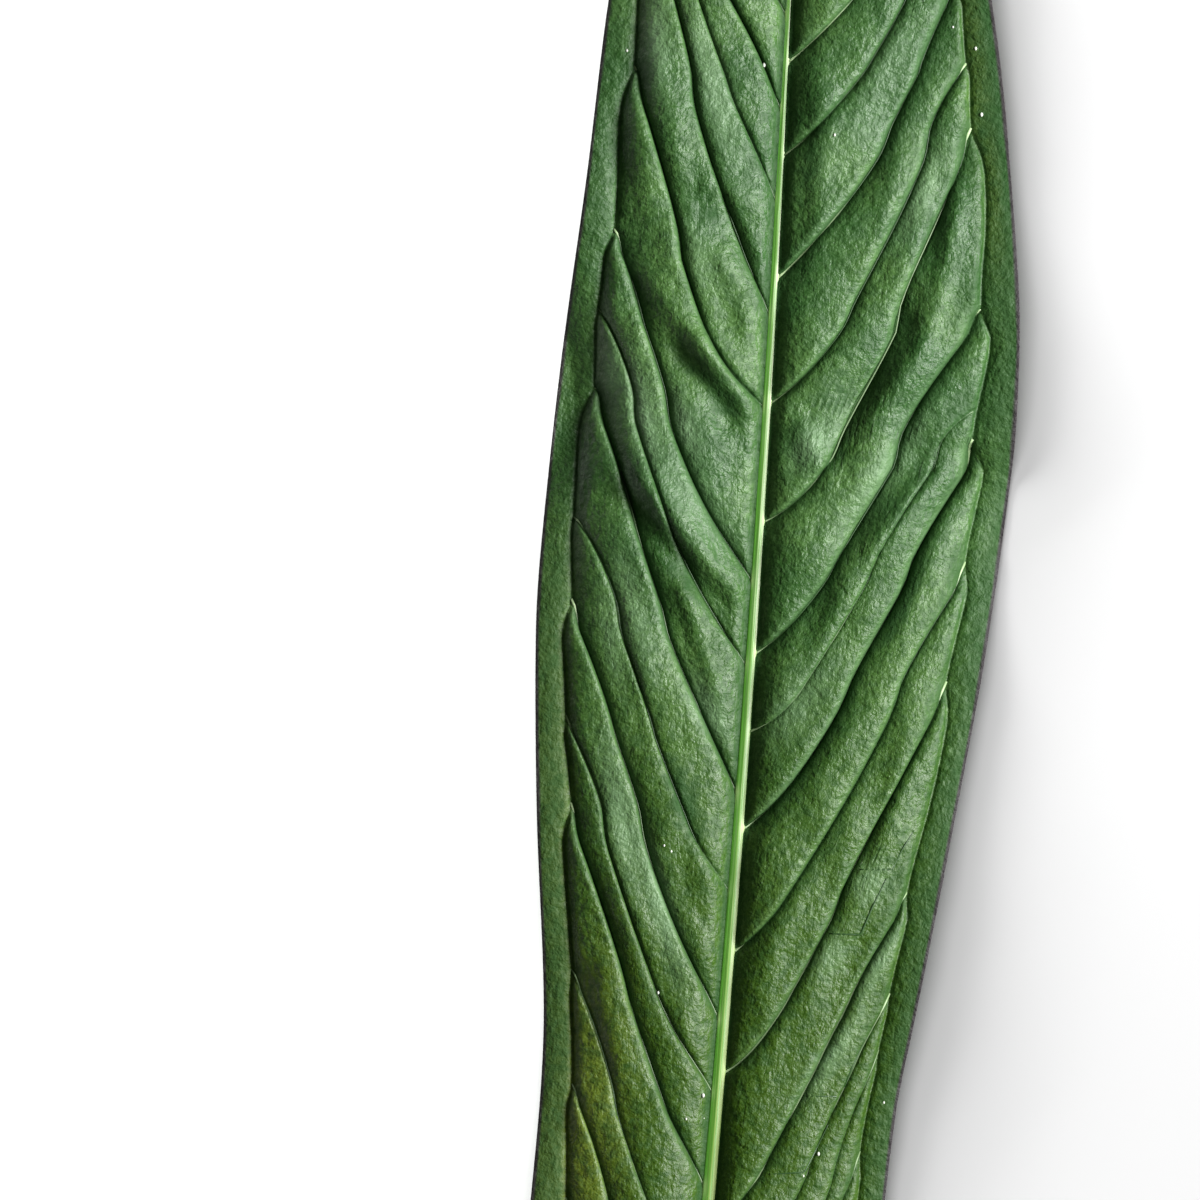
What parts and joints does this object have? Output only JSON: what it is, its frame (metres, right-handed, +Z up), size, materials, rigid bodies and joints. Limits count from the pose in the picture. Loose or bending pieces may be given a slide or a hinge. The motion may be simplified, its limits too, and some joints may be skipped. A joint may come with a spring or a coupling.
{
  "type": "anthurium leaf",
  "caption": "Long strap-shaped tropical leaf with sunken side veins, a raised pale midrib and a cut stalk, lying flat as greenery or foliage.",
  "frame": {"origin": "centre of the whole leaf's box, on the surface that it lies on", "axes": "+Y along the leaf from the cut stalk to the tip, +Z up out of the upper side, +X to the right seen from above"},
  "size_m": [0.1031, 0.7192, 0.012],
  "materials": {
    "leaf_green": "satin",
    "rib_green": "satin"
  },
  "bodies": {
    "root": {"blade": "leaf_green", "midrib_and_petiole": "rib_green"}
  },
  "joints": []
}
